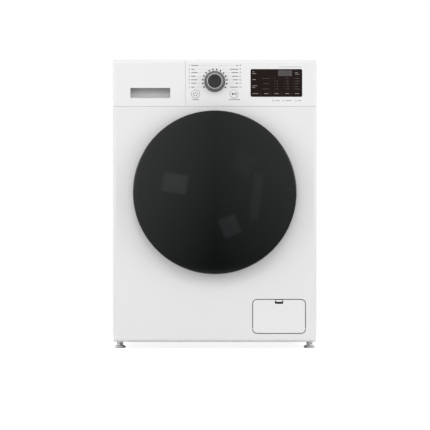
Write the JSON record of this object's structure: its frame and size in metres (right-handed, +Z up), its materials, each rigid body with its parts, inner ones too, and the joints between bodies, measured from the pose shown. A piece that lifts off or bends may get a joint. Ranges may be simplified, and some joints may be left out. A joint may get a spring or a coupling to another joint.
{
  "type": "front load washing machine",
  "caption": "Free-standing front load washing machine with a round smoked door, a detergent drawer, a programme dial, a display and a filter flap.",
  "frame": {"origin": "on the floor, under the middle of the machine's whole box", "axes": "+Z up, the front with the door faces -Y, +X to the right seen from the front"},
  "size_m": [0.598, 0.649, 0.85],
  "materials": {
    "white_paint": "satin powder coat",
    "zinc_sheet": "plain coated sheet",
    "worktop": "white laminate on chipboard",
    "white_plastic": "fine satin moulding",
    "tray_plastic": "plain moulding",
    "display_glass": "polished black",
    "circuit_board": "solder mask",
    "dial_grey": "satin grey",
    "smoked_cover": "polished smoked tint",
    "door_frame_grey": "fine grain",
    "clear_glass": "clear pressed glass",
    "grey_rubber": "matt",
    "black_rubber": "matt, ribbed",
    "zinc_steel": "zinc plated",
    "hinge_metal": "die cast",
    "hook_steel": "zinc plated",
    "dark_plastic": "fine grain",
    "pump_plastic": "plain moulding",
    "tub_plastic": "glass filled moulding",
    "concrete": "cast",
    "heater_steel": "drawn tube",
    "motor_metal": "cast and pressed",
    "cast_aluminium": "die cast",
    "drum_steel": "rolled stainless",
    "lifter_plastic": "plain moulding"
  },
  "bodies": {
    "cabinet": {"left_side_panel": "white_paint", "right_side_panel": "white_paint", "rear_panel": "zinc_sheet", "rear_cover": "zinc_sheet", "cabinet_screws": "zinc_steel", "transit_caps": "white_plastic", "top_cover": "worktop", "front_panel": "white_paint", "base_tray": "dark_plastic", "top_crossbar": "zinc_steel", "foot_locknuts": "zinc_steel", "control_fascia": "white_plastic", "display_window": "display_glass", "control_board": "circuit_board", "drawer_housing": "tray_plastic", "hinge_bracket": "hinge_metal", "hinge_pin": "zinc_steel", "door_lock": "dark_plastic", "door_gasket": "grey_rubber", "damper_cylinders": "dark_plastic", "suspension_springs": "zinc_steel", "filter_bezel": "dark_plastic", "drain_pump": "pump_plastic", "sump_hose": "grey_rubber", "drain_hose": "grey_rubber", "drain_outlet": "pump_plastic", "fill_hose": "grey_rubber", "inlet_valve": "pump_plastic", "inlet_hose": "grey_rubber", "mains_gland": "dark_plastic"},
    "tub": {"tub_front": "tub_plastic", "tub_rear": "tub_plastic", "drum_bearings": "zinc_steel", "front_counterweight": "concrete", "heater": "heater_steel", "motor": "motor_metal", "drive_belt": "black_rubber", "damper_rods": "zinc_steel"},
    "drum": {"drum_shell": "drum_steel", "drum_lifters": "lifter_plastic", "drum_spider": "cast_aluminium", "drum_pulley": "cast_aluminium"},
    "motor_rotor": {"motor_pulley": "zinc_steel"},
    "door": {"door_cover": "smoked_cover", "door_frame": "door_frame_grey", "door_glass": "clear_glass", "hinge_arm": "hinge_metal"},
    "hook": {"latch_hook": "hook_steel"},
    "drawer": {"drawer_front": "white_plastic", "drawer_tray": "tray_plastic"},
    "dial": {"program_knob": "dial_grey"},
    "power_key": {"power_button": "white_plastic"},
    "start_key": {"start_button": "white_plastic"},
    "flap": {"filter_flap": "white_plastic"},
    "filter": {"filter_cap": "dark_plastic"},
    "pump_rotor": {"pump_impeller": "dark_plastic"},
    "foot_1": {"foot_front_left": "zinc_steel"},
    "foot_2": {"foot_front_right": "zinc_steel"},
    "foot_3": {"foot_rear_left": "zinc_steel"},
    "foot_4": {"foot_rear_right": "zinc_steel"}
  },
  "joints": [
    {"name": "door_hinge", "type": "hinge", "parent": "cabinet", "child": "door", "pos_m": [-0.2205, -0.2895, 0.46], "axis": [0, 0, -1], "range_deg": [0, 150]},
    {"name": "hook_pivot", "type": "hinge", "parent": "door", "child": "hook", "pos_m": [0.188, -0.2715, 0.46], "axis": [0, 0, 1], "range_deg": [0, 6], "stiffness_Nm_per_rad": 0.6},
    {"name": "drawer_slide", "type": "slide", "parent": "cabinet", "child": "drawer", "axis": [0, -1, 0], "range_m": [0, 0.2]},
    {"name": "dial_turn", "type": "hinge", "parent": "cabinet", "child": "dial", "pos_m": [0, -0.2625, 0.7858], "axis": [0, -1, 0], "continuous": true},
    {"name": "power_press", "type": "slide", "parent": "cabinet", "child": "power_key", "axis": [0, 1, 0], "range_m": [0, 0.0012], "stiffness_N_per_m": 1200},
    {"name": "start_press", "type": "slide", "parent": "cabinet", "child": "start_key", "axis": [0, 1, 0], "range_m": [0, 0.0012], "stiffness_N_per_m": 1200},
    {"name": "flap_hinge", "type": "hinge", "parent": "cabinet", "child": "flap", "pos_m": [0.189, -0.2581, 0.0598], "axis": [1, 0, 0], "range_deg": [0, 90]},
    {"name": "filter_turn", "type": "hinge", "parent": "cabinet", "child": "filter", "pos_m": [0.189, -0.2405, 0.0957], "axis": [0, -1, 0], "range_deg": [0, 120]},
    {"name": "tub_bounce", "type": "slide", "parent": "cabinet", "child": "tub", "axis": [0, 0, 1], "range_m": [-0.012, 0.012], "stiffness_N_per_m": 14000, "springref_m": 0.01955, "deforming": ["door_gasket", "suspension_springs", "sump_hose", "fill_hose"]},
    {"name": "drum_spin", "type": "hinge", "parent": "tub", "child": "drum", "pos_m": [0, 0.1625, 0.46], "axis": [0, 1, 0], "continuous": true},
    {"name": "motor_spin", "type": "hinge", "parent": "tub", "child": "motor_rotor", "pos_m": [-0.095, 0.1945, 0.124], "axis": [0, 1, 0], "continuous": true},
    {"name": "pump_spin", "type": "hinge", "parent": "cabinet", "child": "pump_rotor", "pos_m": [0.189, -0.0945, 0.0957], "axis": [0, 1, 0], "continuous": true},
    {"name": "foot_turn_front_left", "type": "hinge", "parent": "cabinet", "child": "foot_1", "pos_m": [-0.2806, -0.206, 0], "axis": [0, 0, 1], "continuous": true},
    {"name": "foot_turn_front_right", "type": "hinge", "parent": "cabinet", "child": "foot_2", "pos_m": [0.2806, -0.206, 0], "axis": [0, 0, 1], "continuous": true},
    {"name": "foot_turn_rear_left", "type": "hinge", "parent": "cabinet", "child": "foot_3", "pos_m": [-0.2806, 0.2725, 0], "axis": [0, 0, 1], "continuous": true},
    {"name": "foot_turn_rear_right", "type": "hinge", "parent": "cabinet", "child": "foot_4", "pos_m": [0.2806, 0.2725, 0], "axis": [0, 0, 1], "continuous": true}
  ],
  "couplings": [
    {"joint": "motor_spin", "follows": "drum_spin", "ratio": 12.727}
  ]
}
